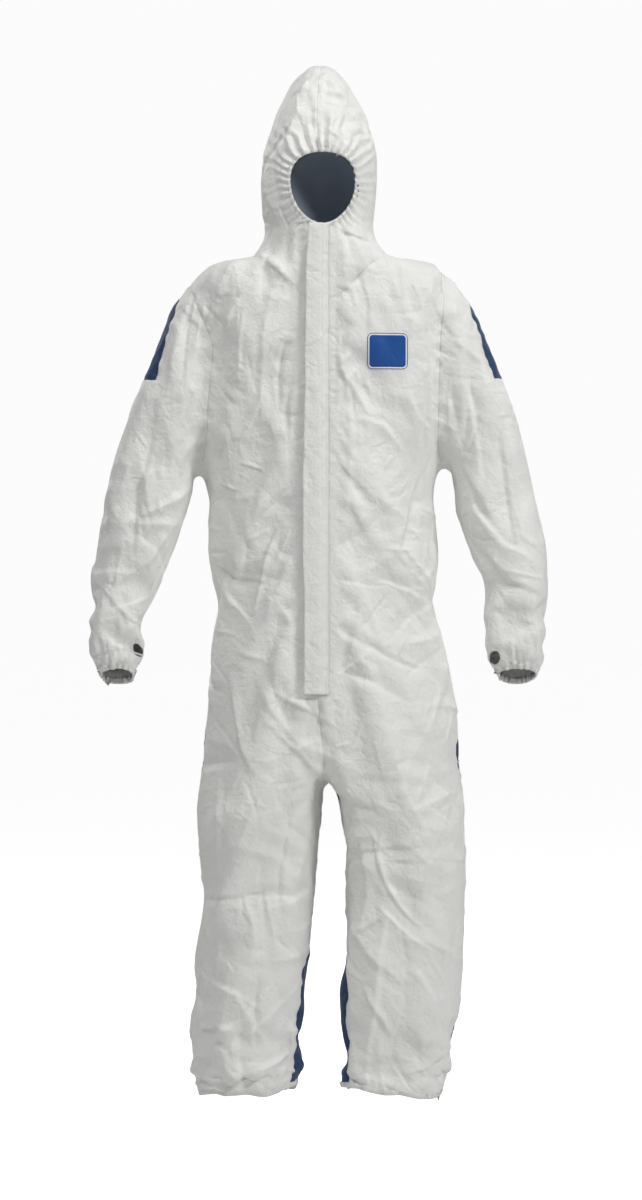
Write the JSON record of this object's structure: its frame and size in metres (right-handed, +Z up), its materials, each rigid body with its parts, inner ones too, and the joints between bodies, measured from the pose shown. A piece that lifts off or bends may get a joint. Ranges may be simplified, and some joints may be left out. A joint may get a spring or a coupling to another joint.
{
  "type": "chemical protective suit",
  "caption": "White hooded protective coverall with dark blue back panels, zip under a storm flap, elasticated hood, cuffs and ankles, posable at neck, shoulders, elbows, hips and knees.",
  "frame": {"origin": "between the wearer's shoulders, which carry the suit, 1454 mm above the ankle hems", "axes": "+Z up, +X to the wearer's left, -Y out of the front"},
  "size_m": [0.7983, 0.2661, 1.801],
  "materials": {
    "white_nonwoven": "crisp calendered nonwoven",
    "navy_nonwoven": "spunbond, matt",
    "elastic": "gathered elastic in a turned hem",
    "zip_plastic": "moulded",
    "label_print": "printed film"
  },
  "bodies": {
    "body": {"right_front_body": "white_nonwoven", "left_front_body": "white_nonwoven", "right_back_body": "navy_nonwoven", "left_back_body": "navy_nonwoven", "waist_elastic": "elastic", "label_patch": "label_print", "right_neck_panel": "white_nonwoven", "left_neck_panel": "white_nonwoven", "right_zip_tape": "zip_plastic", "left_zip_tape": "zip_plastic", "right_top_stop": "zip_plastic", "left_top_stop": "zip_plastic", "bottom_stop": "zip_plastic", "right_sleeve_head_front": "white_nonwoven", "right_sleeve_head_back": "navy_nonwoven", "right_underarm_back": "white_nonwoven", "left_sleeve_head_front": "white_nonwoven", "left_sleeve_head_back": "navy_nonwoven", "left_underarm_back": "white_nonwoven", "right_hip_front": "white_nonwoven", "right_hip_back": "navy_nonwoven", "left_hip_front": "white_nonwoven", "left_hip_back": "navy_nonwoven"},
    "hood": {"hood_right_panel": "white_nonwoven", "hood_left_panel": "white_nonwoven", "face_elastic": "elastic"},
    "flap": {"storm_flap": "white_nonwoven"},
    "slider": {"zip_slider": "zip_plastic"},
    "pull": {"zip_pull": "zip_plastic"},
    "right_upper_arm": {"right_upper_sleeve": "white_nonwoven", "right_elbow_section": "white_nonwoven"},
    "right_forearm": {"right_forearm_sleeve": "white_nonwoven", "right_wrist_elastic": "elastic"},
    "right_thigh": {"right_thigh_front": "white_nonwoven", "right_thigh_back": "navy_nonwoven", "right_knee_front": "white_nonwoven", "right_knee_back": "navy_nonwoven"},
    "right_shin": {"right_shin_front": "white_nonwoven", "right_shin_back": "navy_nonwoven", "right_ankle_elastic": "elastic"},
    "left_upper_arm": {"left_upper_sleeve": "white_nonwoven", "left_elbow_section": "white_nonwoven"},
    "left_forearm": {"left_forearm_sleeve": "white_nonwoven", "left_wrist_elastic": "elastic"},
    "left_thigh": {"left_thigh_front": "white_nonwoven", "left_thigh_back": "navy_nonwoven", "left_knee_front": "white_nonwoven", "left_knee_back": "navy_nonwoven"},
    "left_shin": {"left_shin_front": "white_nonwoven", "left_shin_back": "navy_nonwoven", "left_ankle_elastic": "elastic"}
  },
  "joints": [
    {"name": "hood_tilt", "type": "hinge", "parent": "body", "child": "hood", "pos_m": [0, 0, 0.036], "axis": [-1, 0, 0], "range_deg": [0, 18], "deforming": ["right_neck_panel", "left_neck_panel"]},
    {"name": "flap_hinge", "type": "hinge", "parent": "body", "child": "flap", "pos_m": [0.013, -0.1213, -0.751], "axis": [0, 0.0185, 0.9998], "range_deg": [0, 115]},
    {"name": "zip_slide", "type": "slide", "parent": "body", "child": "slider", "axis": [0, -0.0185, -0.9998], "range_m": [0, 0.755]},
    {"name": "pull_swing", "type": "hinge", "parent": "slider", "child": "pull", "pos_m": [-0.006, -0.10718, 0.0343], "axis": [-1, 0, 0], "range_deg": [0, 14]},
    {"name": "right_shoulder_raise", "type": "hinge", "parent": "body", "child": "right_upper_arm", "pos_m": [-0.27, 0, -0.289], "axis": [0, 1, 0], "range_deg": [0, 45], "deforming": ["right_sleeve_head_front", "right_sleeve_head_back", "right_underarm_back"]},
    {"name": "right_elbow_bend", "type": "hinge", "parent": "right_upper_arm", "child": "right_forearm", "pos_m": [-0.31, 0, -0.444], "axis": [-1, 0, 0], "range_deg": [0, 70], "deforming": ["right_elbow_section"]},
    {"name": "right_hip_swing", "type": "hinge", "parent": "body", "child": "right_thigh", "pos_m": [-0.112, 0, -0.909], "axis": [-1, 0, 0], "range_deg": [-15, 35], "deforming": ["right_hip_front", "right_hip_back"]},
    {"name": "right_knee_bend", "type": "hinge", "parent": "right_thigh", "child": "right_shin", "pos_m": [-0.118, 0, -1.104], "axis": [1, 0, 0], "range_deg": [0, 55], "deforming": ["right_knee_front", "right_knee_back"]},
    {"name": "left_shoulder_raise", "type": "hinge", "parent": "body", "child": "left_upper_arm", "pos_m": [0.27, 0, -0.289], "axis": [0, -1, 0], "range_deg": [0, 45], "deforming": ["left_sleeve_head_front", "left_sleeve_head_back", "left_underarm_back"]},
    {"name": "left_elbow_bend", "type": "hinge", "parent": "left_upper_arm", "child": "left_forearm", "pos_m": [0.306, 0, -0.444], "axis": [-1, 0, 0], "range_deg": [0, 70], "deforming": ["left_elbow_section"]},
    {"name": "left_hip_swing", "type": "hinge", "parent": "body", "child": "left_thigh", "pos_m": [0.138, 0, -0.909], "axis": [-1, 0, 0], "range_deg": [-15, 35], "deforming": ["left_hip_front", "left_hip_back"]},
    {"name": "left_knee_bend", "type": "hinge", "parent": "left_thigh", "child": "left_shin", "pos_m": [0.148, 0, -1.104], "axis": [1, 0, 0], "range_deg": [0, 55], "deforming": ["left_knee_front", "left_knee_back"]}
  ]
}
